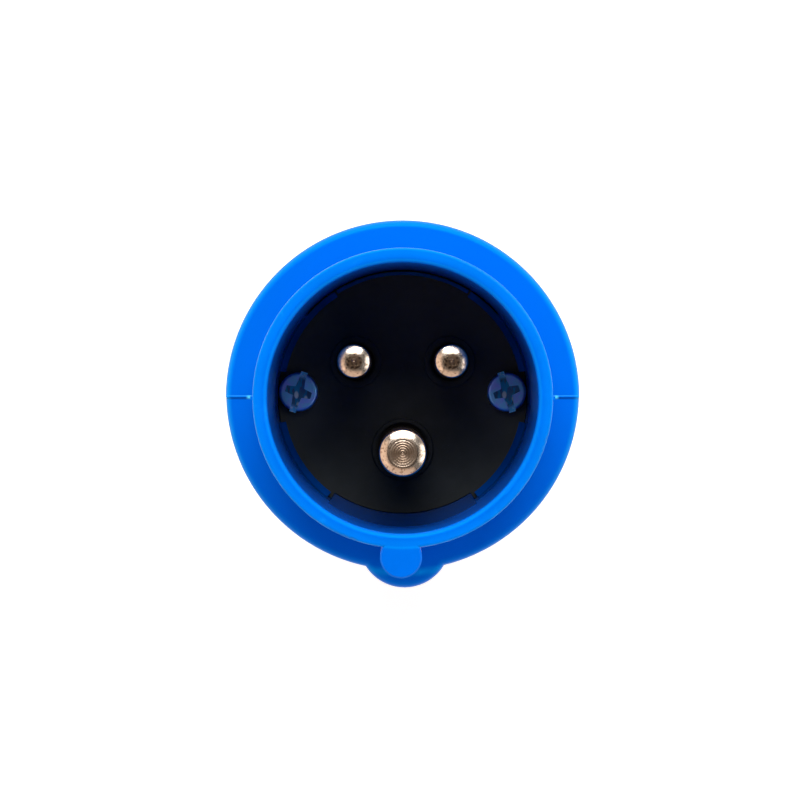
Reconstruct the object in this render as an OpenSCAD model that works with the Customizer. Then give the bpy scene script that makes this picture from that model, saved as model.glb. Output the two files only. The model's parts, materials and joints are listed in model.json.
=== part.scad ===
// Industrial pin and sleeve plug, 16 A, two poles and earth, with a screwed gland nut.
// The axis is Z, the rear of the gland nut stands at Z = 0 and the mouth opens toward +Z.
// The earth pin and the key lie toward -Y.

/* [Sleeve] */
// Outside diameter of the contact sleeve at its rim
sleeve_od = 43.5; // [42.5:0.1:45]
// Wall of the contact sleeve
sleeve_wall = 2.15; // [1.9:0.05:2.3]
// Depth of the mouth, from the rim to the contact carrier
sleeve_depth = 37; // [34:0.5:42]
// Radius of the half-round key under the sleeve
key_r = 3.05; // [2.65:0.05:3.4]
// Distance from the axis to the middle of the key
key_out = 23.05; // [22.5:0.05:23.2]
// Rounding of the rim's outer edge
rim_round = 0.4; // [0.2:0.05:0.6]
// Rounding of the rim's inner edge
mouth_round = 0.8; // [0.4:0.05:0.9]

/* [Collar] */
// Diameter of the collar behind the sleeve
collar_d = 54.6; // [52:0.1:58]
// Thickness of the collar
collar_thick = 8; // [7:0.5:11]
// Rounding of the collar's front edge
collar_round = 1.1; // [0.5:0.1:1.6]
// Slope of each half of the collar's face, in degrees
collar_draft = 1.2; // [0.4:0.1:2]
// How much closer the lower edge of the collar comes to the axis
collar_drop = 0.45; // [0.25:0.05:0.8]
// Radius of the lobe behind the key
lobe_r = 7.1; // [6.5:0.1:7.6]
// Reach of that lobe from the axis
lobe_reach = 29.5; // [28.7:0.1:30]

/* [Contacts] */
// Diameter of the line and neutral pins
line_pin_d = 5; // [4.6:0.1:5.2]
// Diameter of the earth pin
earth_pin_d = 7; // [6.4:0.1:7.2]
// Length of the line and neutral pins in the mouth
line_pin_len = 25; // [20:0.5:28]
// Length of the earth pin in the mouth
earth_pin_len = 31; // [28.5:0.5:33]
// Radius of the circle that the pins stand on
pin_circle_r = 8.65; // [8.5:0.05:8.8]
// Angle of the line and neutral pins from the top, in degrees
line_pin_angle = 56.5; // [54:0.5:60]
// Rise of the pin circle above the axis
pin_rise = 0.6; // [0.3:0.1:0.7]

/* [Carrier] */
// Thickness of the carrier's front disc
disc_thick = 4; // [3.5:0.5:5]
// Length of the terminal tower behind that disc
tower_len = 21; // [20:0.5:23]
// Distance between the two fixing screws
screw_spacing = 32; // [31.6:0.1:32.2]
// Diameter of the fixing screws' heads
screw_head_d = 6; // [5.4:0.1:6.2]

/* [Handle] */
// Length of the handle in front of the gland nut
handle_len = 53; // [50:1:62]
// Diameter of the grip, without its ribs
grip_d = 45.6; // [45:0.2:47]
// Diameter of the handle's front band
band_d = 50.8; // [50:0.2:51.8]
// Number of ribs around the grip
grip_ribs = 16; // [8:2:20]

/* [Gland] */
// Outside diameter of the gland nut, without its ribs
nut_d = 38; // [37.6:0.2:42]
// Length of the gland nut
nut_len = 26.6; // [25:0.2:30]
// Outside diameter of the threaded neck
neck_d = 30; // [29.4:0.2:31]
// Diameter of the cable entry through the nut
entry_d = 18.6; // [17:0.2:19]
// Bore of the rubber seal, for the cable
seal_bore_d = 11; // [9:0.5:13]
// Number of clamping fingers on the cage
fingers = 10; // [6:1:12]

/* [Preview] */
// Which piece to draw

/* [Hidden] */

$fn = 96;
e = 0.01;

// clearances
slip = 0.3; // between pieces that move or drop in
snug = 0.1; // between the carrier and the lands it drops between
close = 0.05; // between a screw or pin and its own hole

// colours
blue = [0.0, 0.36, 0.86];
black = [0.05, 0.06, 0.08];
grey = [0.27, 0.29, 0.31];
rubber = [0.09, 0.09, 0.1];
nickel = [0.78, 0.74, 0.68];
brass = [0.80, 0.64, 0.32];
steel = [0.66, 0.68, 0.71];
white = [0.86, 0.87, 0.86];

// levels up the axis
ring_room = 0.4;
o_ring_d = 2;
shoulder_z = nut_len + ring_room + o_ring_d;
handle_front_z = shoulder_z + handle_len;
gasket_thick = 1;
collar_rear_z = handle_front_z + gasket_thick;
floor_z = collar_rear_z + collar_thick;
rim_z = floor_z + sleeve_depth;

// sleeve and its inside
sleeve_r = sleeve_od / 2;
bore_r = sleeve_r - sleeve_wall;
sleeve_foot_r = sleeve_r + 0.2;
lip_r = 13.2;
lip_thick = collar_thick - disc_thick;
seat_z = floor_z - disc_thick;
spigot_r = 22.3;
spigot_bore_r = 20;
spigot_len = 8;
spigot_z = collar_rear_z - spigot_len;
land_r = bore_r - 0.4;
land_h = 1.5;
relief_half = 49;
key_land_half = 35;
key_land_rise = 0.9;
key_land_r = land_r - 0.34;
land_fade = 2;
key_land_fade = 12;
seam_w = 0.5;
seam_h = 0.3;
flash_r = 0.3;
flash_h = 0.12;
flash_turn = 55;
collar_step = 0.06;
key_shift = 0.25;
lobe_shift = 0.3;

// contacts
line_r = line_pin_d / 2;
earth_r = earth_pin_d / 2;
line_x = pin_circle_r * sin(line_pin_angle);
line_y = pin_rise + pin_circle_r * cos(line_pin_angle);
earth_y = pin_rise - pin_circle_r;
line_barrel_r = line_r + 0.9;
earth_barrel_r = earth_r + 0.7;
tower_r = lip_r - 0.2;
tower_z = seat_z - tower_len;
barrel_top_z = floor_z - 3;
barrel_z = tower_z + 2;
wire_r = 1.8;
earth_wire_r = 2.2;
terminal_z = barrel_z + 5;
terminal_r = 1.9;
root_step = 0.35;
root_sink = 0.4;
recess = 0.65;
boss_h = 0.5;
plate_thick = 2.4;
plate_z = tower_z - plate_thick;

// fixing screws
screw_x = screw_spacing / 2;
screw_y = 0.75;
screw_r = 1.5;
screw_len = 16;
screw_head_h = 2;
screw_turn = 17;
slot_w = 1.05;
slot_d = 0.8;
star_d = 1.6;
burr = 0.2;
plate_head_r = 2.7;
plate_head_h = 1.6;
plate_screw_len = 10;
screw_hole_r = screw_r + 0.2;
post_r = 3.2;
post_len = 16;
web_thick = 3.2;
insert_r = 2.1;
insert_len = 7;

// handle
grip_r = grip_d / 2;
band_r = band_d / 2;
rib_r = 1.3;
rib_h = 0.8;
chamber_r = grip_r - 3;
grip_low_z = shoulder_z + 17;
grip_high_z = handle_front_z - 8;
pocket_r = spigot_r + slip;
pocket_z = spigot_z - 0.4;
collar_low_r = 17;

// gland
neck_r = neck_d / 2;
neck_end_z = 9;
neck_bore_r = neck_r - 2.4;
core_r = neck_r - 0.75;
thread_top_z = nut_len - 1.2;
seal_seat_z = 18.5;
passage_r = neck_bore_r - 2.1;
cage_r = neck_bore_r - close;
cage_in_r = cage_r - 2.1;
cage_top_z = 17;
finger_low_z = 4.2;
slot_top_z = 12.5;
nut_wall = 2.6;
nut_r = nut_d / 2;
thread_r = neck_r + slip;
pocket_depth = 7.6;
ring_pocket_r = thread_r - 1.1;
ring_r = ring_pocket_r - slip;
ring_z = nut_wall + slip;
ring_h = 4;
entry_r = entry_d / 2;
seal_r = cage_in_r - 0.2;
seal_bore_r = seal_bore_d / 2;
seal_low_z = 4.8;

// a rounded corner to cut off a profile: (x, y) is the corner, sx and sy point into the material
module corner(x, y, r, sx, sy) {
    translate([x, y]) difference() {
        translate([sx < 0 ? -r : -e, sy < 0 ? -r : -e]) square([r + e, r + e]);
        translate([sx * r, sy * r]) circle(r = r);
    }
}

// a wedge of the plane about +Y
module wedge(half) {
    polygon([[0, 0], [-40 * tan(half), 40], [40 * tan(half), 40]]);
}

// a turned piece from (radius, height) points
module turned(points) {
    rotate_extrude() polygon(points);
}

// a half-round rib all along Z
module ring_of(count, r) {
    for (i = [0:count - 1]) rotate([0, 0, i * 360 / count]) translate([r, 0, 0]) children();
}

// ---- front shell ----

// the land all round the bore but its top, with room all round for the carrier's edge
module ring_land(room = 0) {
    difference() {
        circle(r = bore_r + 0.7);
        circle(r = land_r - room);
        wedge(relief_half - room * 3);
    }
}

// the thicker land above the key
module key_land(room = 0) {
    intersection() {
        difference() {
            circle(r = bore_r + 0.6);
            translate([0, key_land_rise]) circle(r = key_land_r - room);
        }
        rotate(180) wedge(key_land_half + room * 3);
    }
}

// both lands, straight beside the carrier and fading into the wall in front of it
module lands() {
    low_z = seat_z - 0.5;
    start_z = floor_z + land_h;
    difference() {
        translate([0, 0, low_z]) linear_extrude(start_z + land_fade * 1.25 - low_z) ring_land();
        translate([0, 0, start_z])
            cylinder(r1 = land_r, r2 = land_r + (bore_r - land_r) * 1.5, h = land_fade * 1.5);
    }
    difference() {
        translate([0, 0, low_z]) linear_extrude(start_z + key_land_fade * 1.15 - low_z) key_land();
        translate([0, key_land_rise, start_z]) cylinder(r1 = key_land_r,
            r2 = key_land_r + (bore_r - key_land_r + key_land_rise) * 1.3, h = key_land_fade * 1.3);
    }
}

// a round slab of the collar, its front face at the floor level
module collar_slab(r) {
    translate([0, 0, floor_z]) rotate_extrude() difference() {
        translate([0, -collar_thick - 2]) square([r, collar_thick + 2]);
        corner(r, 0, collar_round, -1, -1);
    }
}

// one half of the collar: its face slopes away from the parting plane
module collar_half(side) {
    intersection() {
        translate([0, 0, floor_z]) rotate([-side * collar_draft, 0, 0]) translate([0, 0, -floor_z])
            union() {
                if (side > 0) collar_slab(collar_d / 2);
                else {
                    translate([0, collar_drop, 0]) collar_slab(collar_d / 2 - collar_step);
                    translate([lobe_shift, lobe_r - lobe_reach, 0]) collar_slab(lobe_r);
                }
            }
        translate([-collar_d, side > 0 ? 0 : -collar_d, collar_rear_z])
            cube([collar_d * 2, collar_d, collar_thick + 2]);
    }
}

module sleeve_tube() {
    rotate_extrude() difference() {
        polygon([[bore_r, floor_z - 1], [sleeve_foot_r, floor_z - 1], [sleeve_r, rim_z - 1.5],
            [sleeve_r, rim_z], [bore_r, rim_z]]);
        corner(sleeve_r, rim_z, rim_round, -1, -1);
        corner(bore_r, rim_z, mouth_round, 1, -1);
    }
}

module key_rib() {
    difference() {
        translate([-key_shift, -key_out, 0]) turned([[0, floor_z - 2], [key_r, floor_z - 2],
            [key_r, rim_z - 0.25], [key_r - 0.25, rim_z], [0, rim_z]]);
        translate([0, 0, floor_z - 3]) cylinder(r = bore_r + mouth_round + 0.3, h = sleeve_depth + 4);
    }
}

// the thin ridge that the mould's parting line leaves along the collar's face and round its edge
module parting_ridge() {
    bend_x = collar_d / 2 - collar_round;
    translate([sleeve_r, 0, floor_z + flash_h - flash_r])
        rotate([0, 90, 0]) cylinder(r = flash_r, h = bend_x - sleeve_r);
    translate([bend_x, 0, floor_z - collar_round]) rotate([90, 0, 0])
        rotate([0, 0, 90 - flash_turn]) rotate_extrude(angle = flash_turn)
            translate([collar_round + flash_h - flash_r, 0]) circle(r = flash_r);
}

module front_shell() {
    color(blue) difference() {
        union() {
            difference() {
                union() {
                    collar_half(1);
                    collar_half(-1);
                    translate([0, 0, spigot_z]) cylinder(r = spigot_r, h = spigot_len + 1);
                }
                translate([0, 0, seat_z]) cylinder(r = bore_r, h = disc_thick + 1);
                translate([0, 0, spigot_z - 1]) cylinder(r = spigot_bore_r, h = spigot_len + 1);
            }
            sleeve_tube();
            key_rib();
            lands();
            for (a = [0, 180]) rotate([0, 0, a]) parting_ridge();
            for (s = [-1, 1]) translate([s > 0 ? sleeve_r - 0.5 : -sleeve_r - seam_h, -seam_w / 2, floor_z - 1])
                cube([0.5 + seam_h, seam_w, sleeve_depth + 1 - rim_round]);
        }
        translate([0, 0, collar_rear_z - 1]) cylinder(r = lip_r, h = collar_thick);
        for (s = [-1, 1]) translate([s * screw_x, screw_y, collar_rear_z - 1])
            cylinder(r = screw_hole_r, h = lip_thick + 2);
    }
}

module shell_gasket() {
    color(rubber) translate([0, 0, handle_front_z]) difference() {
        cylinder(r = band_r - 0.3, h = gasket_thick);
        translate([0, 0, -1]) cylinder(r = spigot_r + close, h = gasket_thick + 2);
    }
}

// ---- contact carrier ----

// places its children at the line pin (-1), the neutral pin (1) or the earth pin (0), X pointing outward
module at_pin(which) {
    if (which == 0) translate([0, earth_y, 0]) rotate([0, 0, -90]) children();
    else translate([which * line_x, line_y, 0]) rotate([0, 0, 90 - which * line_pin_angle]) children();
}

module contact_carrier() {
    color(black) difference() {
        union() {
            translate([0, 0, seat_z]) linear_extrude(disc_thick) difference() {
                circle(r = bore_r - snug);
                ring_land(snug);
                key_land(snug);
            }
            translate([0, 0, tower_z]) cylinder(r = tower_r, h = tower_len + 1);
            for (w = [-1, 1]) at_pin(w) pin_boss(line_r + 1.5);
            at_pin(0) pin_boss(earth_r + 1.3);
        }
        for (w = [-1, 0, 1]) at_pin(w) pin_bores(w == 0 ? earth_r : line_r,
            w == 0 ? earth_barrel_r : line_barrel_r);
        for (s = [-1, 1]) translate([s * screw_x, screw_y, seat_z - 1])
            cylinder(r = screw_hole_r, h = disc_thick + 2);
        translate([0, pin_rise, tower_z - 1]) cylinder(r = screw_r + close, h = plate_screw_len);
        for (a = [-62, 62]) rotate([0, 0, -90 + a]) translate([tower_r - 3.2, -1.6, tower_z - 1])
            cube([6, 3.2, tower_len - 3]);
    }
}

module pin_boss(r) {
    translate([0, 0, floor_z - 1])
        turned([[0, 0], [r, 0], [r, 0.8 + boss_h], [r - 0.2, 1 + boss_h], [0, 1 + boss_h]]);
}

module pin_bores(pin_r, barrel_r) {
    translate([0, 0, tower_z - 1]) cylinder(r = barrel_r + close, h = barrel_top_z - tower_z + 1);
    translate([0, 0, barrel_top_z - 1]) cylinder(r = pin_r + root_step + close, h = 6);
    translate([0, 0, floor_z - root_sink - snug]) cylinder(r = pin_r + recess, h = 3);
    translate([0, 0, terminal_z]) rotate([0, 90, 0]) cylinder(r = terminal_r + 0.5, h = 20);
}

// half the profile of a rod: a flat centre, a shallow dome that leaves it at the given slope and a rounded
// edge that meets the dome smoothly
module tip_profile(pin_r, low_z, tip_z, flat_r, dome_r, edge_r, slope) {
    mid_r = flat_r - dome_r * sin(slope);
    mid_z = tip_z - dome_r * cos(slope);
    run = pin_r - edge_r - mid_r;
    rise = sqrt(pow(dome_r - edge_r, 2) - run * run);
    edge_z = mid_z + rise;
    translate([0, low_z]) square([pin_r, edge_z - low_z]);
    translate([0, low_z]) square([flat_r, tip_z - low_z]);
    translate([pin_r - edge_r, edge_z]) circle(r = edge_r);
    intersection() {
        translate([mid_r, mid_z]) circle(r = dome_r);
        translate([mid_r, mid_z]) polygon([[0, 0], [run * 3, rise * 3],
            [dome_r * 2 * sin(slope), dome_r * 2 * cos(slope)]]);
    }
}

// a contact pin: a rod in the mouth, a barrel in the tower and a clamping hole for the wire
module contact(pin_r, barrel_r, tip_z, flat_r, dome_r, edge_r, slope, hole_r) {
    difference() {
        union() {
            rotate_extrude() tip_profile(pin_r, barrel_top_z - 1, tip_z, flat_r, dome_r, edge_r, slope);
            turned([[0, barrel_z], [barrel_r - 0.3, barrel_z], [barrel_r, barrel_z + 0.3],
                [barrel_r, barrel_top_z - 0.3], [barrel_r - 0.3, barrel_top_z],
                [pin_r + root_step, barrel_top_z], [pin_r + root_step, floor_z - root_sink],
                [0, floor_z - root_sink]]);
        }
        translate([0, 0, barrel_z - 1]) turned([[0, 0], [hole_r, 0], [hole_r, 11], [0, 11 + hole_r * 0.5]]);
        translate([0, 0, terminal_z]) rotate([0, 90, 0]) cylinder(r = terminal_r + close, h = 12);
    }
}

module line_contact() {
    color(nickel) difference() {
        contact(line_r, line_barrel_r, floor_z + line_pin_len, line_r * 0.16, line_r * 1.76,
            line_r * 0.15, 0, wire_r);
        translate([0, 0, floor_z + line_pin_len - 0.25]) turned([[0, 0], [0.3, 0.26], [0, 0.26]]);
    }
}

module line_pin() at_pin(-1) line_contact();
module neutral_pin() at_pin(1) line_contact();
module earth_pin() color(nickel) at_pin(0)
    contact(earth_r, earth_barrel_r, floor_z + earth_pin_len, earth_r * 0.63, earth_r * 1.15,
        earth_r * 0.12, 11, earth_wire_r);

// a slotted grub screw along +X, its point inside the wire hole's wall
module grub_screw(inner, outer) {
    color(steel) translate([0, 0, terminal_z]) rotate([0, 90, 0]) difference() {
        turned([[0, inner], [terminal_r - 0.6, inner], [terminal_r, inner + 0.6], [terminal_r, outer - 0.3],
            [terminal_r - 0.3, outer], [0, outer]]);
        translate([-0.35, -3, outer - 0.9]) cube([0.7, 6, 2]);
    }
}

module line_terminal_screw() at_pin(-1) grub_screw(0.6, line_barrel_r + 0.8);
module neutral_terminal_screw() at_pin(1) grub_screw(0.6, line_barrel_r + 0.8);
module earth_terminal_screw() at_pin(0) grub_screw(0.6, earth_barrel_r + 0.6);

module pin_retainer() {
    color(grey) translate([0, 0, plate_z]) difference() {
        cylinder(r = tower_r, h = plate_thick);
        for (w = [-1, 0, 1]) at_pin(w) translate([0, 0, -1])
            cylinder(r = w == 0 ? earth_wire_r + 0.5 : wire_r + 0.5, h = plate_thick + 2);
        translate([0, pin_rise, -1]) cylinder(r = screw_r + close, h = plate_thick + 2);
    }
}

// a four-armed star recess, its arms the given reach from the centre
module star(reach, w) {
    polygon([for (i = [0:3]) each [for (q = [[reach, -w / 2], [reach, w / 2], [w * 0.75, w * 0.75]])
        [q[0] * cos(i * 90) - q[1] * sin(i * 90), q[0] * sin(i * 90) + q[1] * cos(i * 90)]]]);
}

// a slotted and star-recessed head, its seat at height 0, the shank running away from it
module head_screw(head_r, head_h, shank_r, len, slot_angle) {
    color(steel) rotate([0, 0, slot_angle]) {
        difference() {
            union() {
                rotate_extrude() difference() {
                    square([head_r, head_h]);
                    corner(head_r, head_h, head_h * 0.25, -1, -1);
                }
                translate([0, 0, -len]) turned([[0, 0], [shank_r - 0.4, 0], [shank_r, 0.5],
                    [shank_r, len + 0.5], [0, len + 0.5]]);
                for (s = [-1, 1]) translate([-slot_w / 2, s > 0 ? 0 : -head_r - burr, 0.1])
                    cube([slot_w, head_r + burr, head_h - slot_d - 0.1]);
            }
            translate([-slot_w / 2, -head_r - 1, head_h - slot_d]) cube([slot_w, head_r * 2 + 2, slot_d + 1]);
            translate([0, 0, head_h - star_d]) linear_extrude(star_d + 1) star(head_r * 0.68, slot_w * 0.9);
        }
    }
}

module retainer_screw() {
    translate([0, pin_rise, plate_z]) rotate([180, 0, 0]) 
        head_screw(plate_head_r, plate_head_h, screw_r, plate_screw_len, screw_turn);
}

module fixing_screw(side) {
    translate([side * screw_x, screw_y, floor_z])
        head_screw(screw_head_d / 2, screw_head_h, screw_r, screw_len, side * screw_turn);
}

module left_fixing_screw() fixing_screw(-1);
module right_fixing_screw() fixing_screw(1);

// a threaded brass insert with three knurled bands
module brass_insert(side) {
    z = collar_rear_z - 1 - insert_len;
    color(brass) translate([side * screw_x, screw_y, z]) difference() {
        turned([[0, 0], [insert_r, 0], [insert_r, 1.8], [insert_r - 0.3, 2], [insert_r - 0.3, 2.6],
            [insert_r, 2.8], [insert_r, 4.6], [insert_r - 0.3, 4.8], [insert_r - 0.3, 5.4],
            [insert_r, 5.6], [insert_r, insert_len], [0, insert_len]]);
        translate([0, 0, -1]) cylinder(r = screw_r + close, h = insert_len + 2);
    }
}

module left_insert() brass_insert(-1);
module right_insert() brass_insert(1);

// ---- handle ----

module handle_body() {
    rotate_extrude() difference() {
        polygon([[0, neck_end_z], [core_r - 0.6, neck_end_z], [core_r, neck_end_z + 0.6],
            [core_r, thread_top_z - 0.75], [neck_r, thread_top_z], [neck_r, shoulder_z],
            [collar_low_r, shoulder_z], [collar_low_r, shoulder_z + 4],
            [grip_r, grip_low_z], [grip_r, grip_high_z], [band_r, handle_front_z - 5.5],
            [band_r, handle_front_z], [0, handle_front_z]]);
        corner(band_r, handle_front_z, 0.6, -1, -1);
    }
}

module grip_rib_set() {
    intersection() {
        ring_of(grip_ribs, grip_r + rib_h - rib_r) translate([0, 0, grip_low_z - 3])
            cylinder(r = rib_r, h = grip_high_z - grip_low_z + 6);
        turned([[grip_r - 2, grip_low_z - 2], [grip_r - 0.2, grip_low_z - 1], [grip_r + rib_h + 1, grip_low_z + 2],
            [grip_r + rib_h + 1, grip_high_z - 3], [grip_r - 0.2, grip_high_z], [grip_r - 2, grip_high_z]]);
    }
}

module handle() {
    color(blue) difference() {
        union() {
            difference() {
                union() {
                    handle_body();
                    grip_rib_set();
                }
                turned([[0, neck_end_z - 1], [neck_bore_r, neck_end_z - 1], [neck_bore_r, seal_seat_z],
                    [passage_r, seal_seat_z], [passage_r, shoulder_z + 2], [chamber_r, grip_low_z + 2],
                    [chamber_r, pocket_z], [pocket_r, pocket_z], [pocket_r, handle_front_z + 1],
                    [0, handle_front_z + 1]]);
            }
            for (s = [-1, 1]) translate([s * screw_x, screw_y, pocket_z - post_len]) {
                cylinder(r = post_r, h = collar_rear_z - pocket_z + post_len);
                translate([s > 0 ? 0 : -chamber_r - 1 + screw_x, -web_thick / 2, 0])
                    cube([chamber_r + 1 - screw_x, web_thick, post_len - 0.4]);
            }
        }
        translate([0, 0, pocket_z - post_len - 1]) cylinder(r = tower_r + slip, h = handle_len);
        for (s = [-1, 1]) translate([s * screw_x, screw_y, 0]) {
            translate([0, 0, collar_rear_z - 1 - insert_len]) cylinder(r = insert_r, h = insert_len + 2);
            translate([0, 0, collar_rear_z - 4 - insert_len]) cylinder(r = screw_hole_r, h = 6);
        }
    }
}

// ---- gland ----

module neck_seal_ring() {
    color(rubber) translate([0, 0, nut_len + ring_room + o_ring_d / 2])
        rotate_extrude() translate([neck_r + o_ring_d / 2 + close, 0]) circle(d = o_ring_d);
}

module cable_seal() {
    color(rubber) turned([[seal_bore_r + 1, seal_low_z], [seal_bore_r, seal_low_z + 1],
        [seal_bore_r, seal_seat_z], [cage_r, seal_seat_z], [cage_r, cage_top_z], [seal_r, cage_top_z],
        [seal_r, seal_low_z]]);
}

module clamp_cage() {
    color(white) difference() {
        turned([[cage_in_r, finger_low_z], [cage_r - 1.65, finger_low_z], [cage_r, finger_low_z + 3.2],
            [cage_r, cage_top_z], [cage_in_r, cage_top_z]]);
        ring_of(fingers, 0) translate([cage_in_r - 2, -0.6, finger_low_z - 1])
            cube([5, 1.2, slot_top_z - finger_low_z + 1]);
    }
}

module thrust_ring() {
    color(grey) turned([[entry_r + 0.2, ring_z], [ring_r, ring_z], [ring_r, ring_z + ring_h],
        [cage_r + 0.1, ring_z + ring_h], [cage_r - 1.4, ring_z + 1.1], [entry_r + 0.2, ring_z + 0.6]]);
}

module gland_nut() {
    color(grey) difference() {
        union() {
            rotate_extrude() difference() {
                polygon([[0, 0], [nut_r - 1.5, 0], [nut_r, 5], [nut_r, nut_len - 1.2], [nut_r - 0.9, nut_len],
                    [0, nut_len]]);
            }
            intersection() {
                ring_of(20, nut_r + 0.7 - 1.2) translate([0, 0, 1]) cylinder(r = 1.2, h = nut_len - 1);
                turned([[nut_r - 2, 2], [nut_r - 0.9, 3], [nut_r + 2, 8], [nut_r + 2, nut_len - 3.6],
                    [nut_r - 1, nut_len - 1], [nut_r - 2, nut_len - 1]]);
            }
        }
        turned([[0, -1], [entry_r + 1.3, -1], [entry_r, 0.3], [entry_r, nut_wall], [ring_pocket_r, nut_wall],
            [ring_pocket_r, pocket_depth], [thread_r, pocket_depth + 1.1], [thread_r, nut_len - 1],
            [thread_r + 0.8, nut_len], [thread_r + 0.8, nut_len + 1], [0, nut_len + 1]]);
    }
}

front_shell();
shell_gasket();
contact_carrier();
line_pin();
neutral_pin();
earth_pin();
line_terminal_screw();
neutral_terminal_screw();
earth_terminal_screw();
pin_retainer();
retainer_screw();
left_fixing_screw();
right_fixing_screw();
left_insert();
right_insert();
handle();
neck_seal_ring();
cable_seal();
clamp_cage();
thrust_ring();
gland_nut();
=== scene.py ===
"""An industrial pin and sleeve plug, dressed on the frame of its CAD model and lit in a studio."""

import json
import math
from types import SimpleNamespace

import bmesh
import bpy
from bpy.props import FloatProperty, FloatVectorProperty, IntProperty, PointerProperty
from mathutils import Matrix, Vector


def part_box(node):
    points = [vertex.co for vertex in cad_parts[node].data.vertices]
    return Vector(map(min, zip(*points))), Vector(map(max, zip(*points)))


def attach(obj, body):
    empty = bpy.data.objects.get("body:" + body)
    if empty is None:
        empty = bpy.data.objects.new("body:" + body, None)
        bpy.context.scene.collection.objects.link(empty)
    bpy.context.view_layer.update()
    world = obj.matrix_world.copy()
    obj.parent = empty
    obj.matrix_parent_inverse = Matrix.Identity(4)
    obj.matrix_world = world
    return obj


bl_info = {
    "name": "Pin and Sleeve Plug",
    "version": (1, 0, 0),
    "blender": (4, 5, 0),
    "location": "3D View > Sidebar > Plug",
    "description": "Dresses an industrial plug: blue shell, plated contacts and screwed gland",
    "category": "Object",
}

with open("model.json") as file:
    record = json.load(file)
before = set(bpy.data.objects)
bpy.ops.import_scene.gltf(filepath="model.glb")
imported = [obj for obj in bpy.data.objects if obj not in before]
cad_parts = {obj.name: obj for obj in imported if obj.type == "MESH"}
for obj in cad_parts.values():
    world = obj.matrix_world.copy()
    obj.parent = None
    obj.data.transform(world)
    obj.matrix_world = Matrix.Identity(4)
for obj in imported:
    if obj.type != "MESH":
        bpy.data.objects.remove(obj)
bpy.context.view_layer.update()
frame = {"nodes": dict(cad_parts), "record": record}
HOUSING, RING, NUT = "housing", "slip_ring", "nut"
MM = 1000.0  # millimetres in a metre


def low(node):
    """The lowest corner of a CAD node."""
    return Vector(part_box(node)[0])


def high(node):
    """The highest corner of a CAD node."""
    return Vector(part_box(node)[1])


def middle(node):
    """The middle of a CAD node's box."""
    return (low(node) + high(node)) / 2


RIM = high("front_shell").z
FLOOR_OF_MOUTH = high("contact_carrier").z
CARRIER_RADIUS = (high("contact_carrier").x - low("contact_carrier").x) / 2
COLLAR_RADIUS = high("front_shell").x
SLEEVE_RADIUS = 0.02175  # outside of the contact sleeve
PINS = {mount["name"]: mount for mount in frame["record"]["mounts"] if mount["kind"] == "pin"}


# ---- sizes and colours that a user may change ----


class PlugSizes(bpy.types.PropertyGroup):
    """Sizes of the pieces made here."""

    thread_pitch: FloatProperty(
        name="Thread pitch", description="Rise of the gland thread in one turn",
        default=0.002, min=0.001, max=0.004, unit="LENGTH")
    thread_crest: FloatProperty(
        name="Thread crest", description="Radius of the gland thread over its crests",
        default=0.01495, min=0.0145, max=0.0152, unit="LENGTH")
    thread_root: FloatProperty(
        name="Thread root", description="Radius of the neck between the crests",
        default=0.0142, min=0.0138, max=0.0145, unit="LENGTH")
    thread_steps: IntProperty(
        name="Steps in a turn", description="Faces along one turn of the thread",
        default=64, min=24, max=128)
    ledge: FloatProperty(
        name="Ledge", description="Width of the shell's ledge at the foot of the mouth's wall",
        default=0.0009, min=0.0004, max=0.0012, unit="LENGTH")
    ledge_steps: IntProperty(
        name="Steps of the ledge", description="Faces along each stretch of the ledge",
        default=32, min=12, max=96)


class PlugColours(bpy.types.PropertyGroup):
    """Colours of the finishes."""

    shell: FloatVectorProperty(
        name="Shell", description="Moulded blue of the shell",
        default=(0.0, 0.138, 0.74), min=0, max=1, subtype="COLOR")
    handle: FloatVectorProperty(
        name="Handle", description="Moulded blue of the handle",
        default=(0.0, 0.124, 0.66), min=0, max=1, subtype="COLOR")
    sheen: FloatVectorProperty(
        name="Sheen", description="Tint of the gloss on the blue mouldings",
        default=(0.0, 0.62, 1.0), min=0, max=1, subtype="COLOR")
    carrier: FloatVectorProperty(
        name="Carrier", description="Black moulding round the pins",
        default=(0.0115, 0.013, 0.0135), min=0, max=1, subtype="COLOR")
    grey: FloatVectorProperty(
        name="Gland", description="Dark grey of the gland nut and slip ring",
        default=(0.085, 0.093, 0.102), min=0, max=1, subtype="COLOR")
    cage: FloatVectorProperty(
        name="Cage", description="Off-white of the clamping fingers",
        default=(0.70, 0.71, 0.68), min=0, max=1, subtype="COLOR")
    rubber: FloatVectorProperty(
        name="Rubber", description="Black of the gasket, ring and seal",
        default=(0.016, 0.016, 0.017), min=0, max=1, subtype="COLOR")
    plating: FloatVectorProperty(
        name="Plating", description="Nickel plating of the pins",
        default=(0.70, 0.59, 0.49), min=0, max=1, subtype="COLOR")
    zinc: FloatVectorProperty(
        name="Zinc", description="Blue passivated zinc of the screws",
        default=(0.15, 0.48, 0.90), min=0, max=1, subtype="COLOR")
    brass: FloatVectorProperty(
        name="Brass", description="Turned brass of the inserts",
        default=(0.72, 0.50, 0.19), min=0, max=1, subtype="COLOR")


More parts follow.
